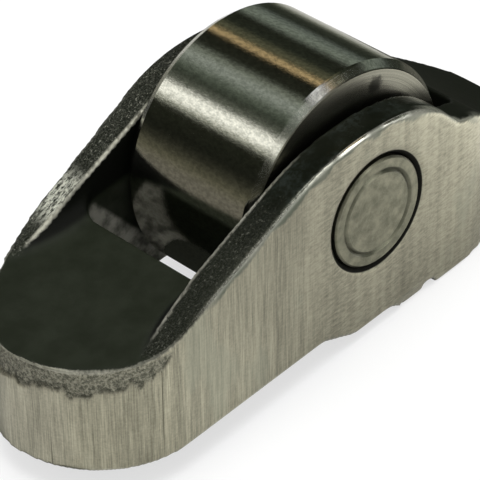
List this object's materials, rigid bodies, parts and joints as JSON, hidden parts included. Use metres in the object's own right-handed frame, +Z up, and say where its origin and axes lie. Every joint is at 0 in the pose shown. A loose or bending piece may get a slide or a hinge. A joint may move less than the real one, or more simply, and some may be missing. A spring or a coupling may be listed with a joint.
{
  "type": "rocker arm",
  "caption": "One-piece steel finger-follower rocker arm with a ball socket at one end, a polished cam roller on needle bearings and a crowned valve pad at the other.",
  "frame": {"origin": "centre of the pivot ball, in the socket under the rounded end", "axes": "+X runs to the valve end, +Z is up towards the camshaft, and the roller turns about an axle parallel to Y"},
  "size_m": [0.0396, 0.0152, 0.0171],
  "materials": {
    "arm": "bare forged steel, dark oxide on the floors, trimmed sides",
    "pin": "ground, staked ends",
    "roller": "superfinished bearing steel",
    "needle": "ground bearing steel"
  },
  "bodies": {
    "arm": {"arm_body": "arm", "axle_pin": "pin"},
    "roller": {"cam_roller": "roller"},
    "needles": {"needle_roller_01": "needle", "needle_roller_02": "needle", "needle_roller_03": "needle", "needle_roller_04": "needle", "needle_roller_05": "needle", "needle_roller_06": "needle", "needle_roller_07": "needle", "needle_roller_08": "needle", "needle_roller_09": "needle", "needle_roller_10": "needle", "needle_roller_11": "needle", "needle_roller_12": "needle", "needle_roller_13": "needle", "needle_roller_14": "needle", "needle_roller_15": "needle", "needle_roller_16": "needle", "needle_roller_17": "needle"}
  },
  "joints": [
    {"name": "roller_spin", "type": "hinge", "parent": "arm", "child": "roller", "pos_m": [0.0174, 0, 0.0055], "axis": [0, 1, 0], "continuous": true},
    {"name": "needle_orbit", "type": "hinge", "parent": "arm", "child": "needles", "pos_m": [0.0174, 0, 0.0055], "axis": [0, 1, 0], "continuous": true}
  ],
  "couplings": [
    {"joint": "needle_orbit", "follows": "roller_spin", "ratio": 0.59368}
  ]
}
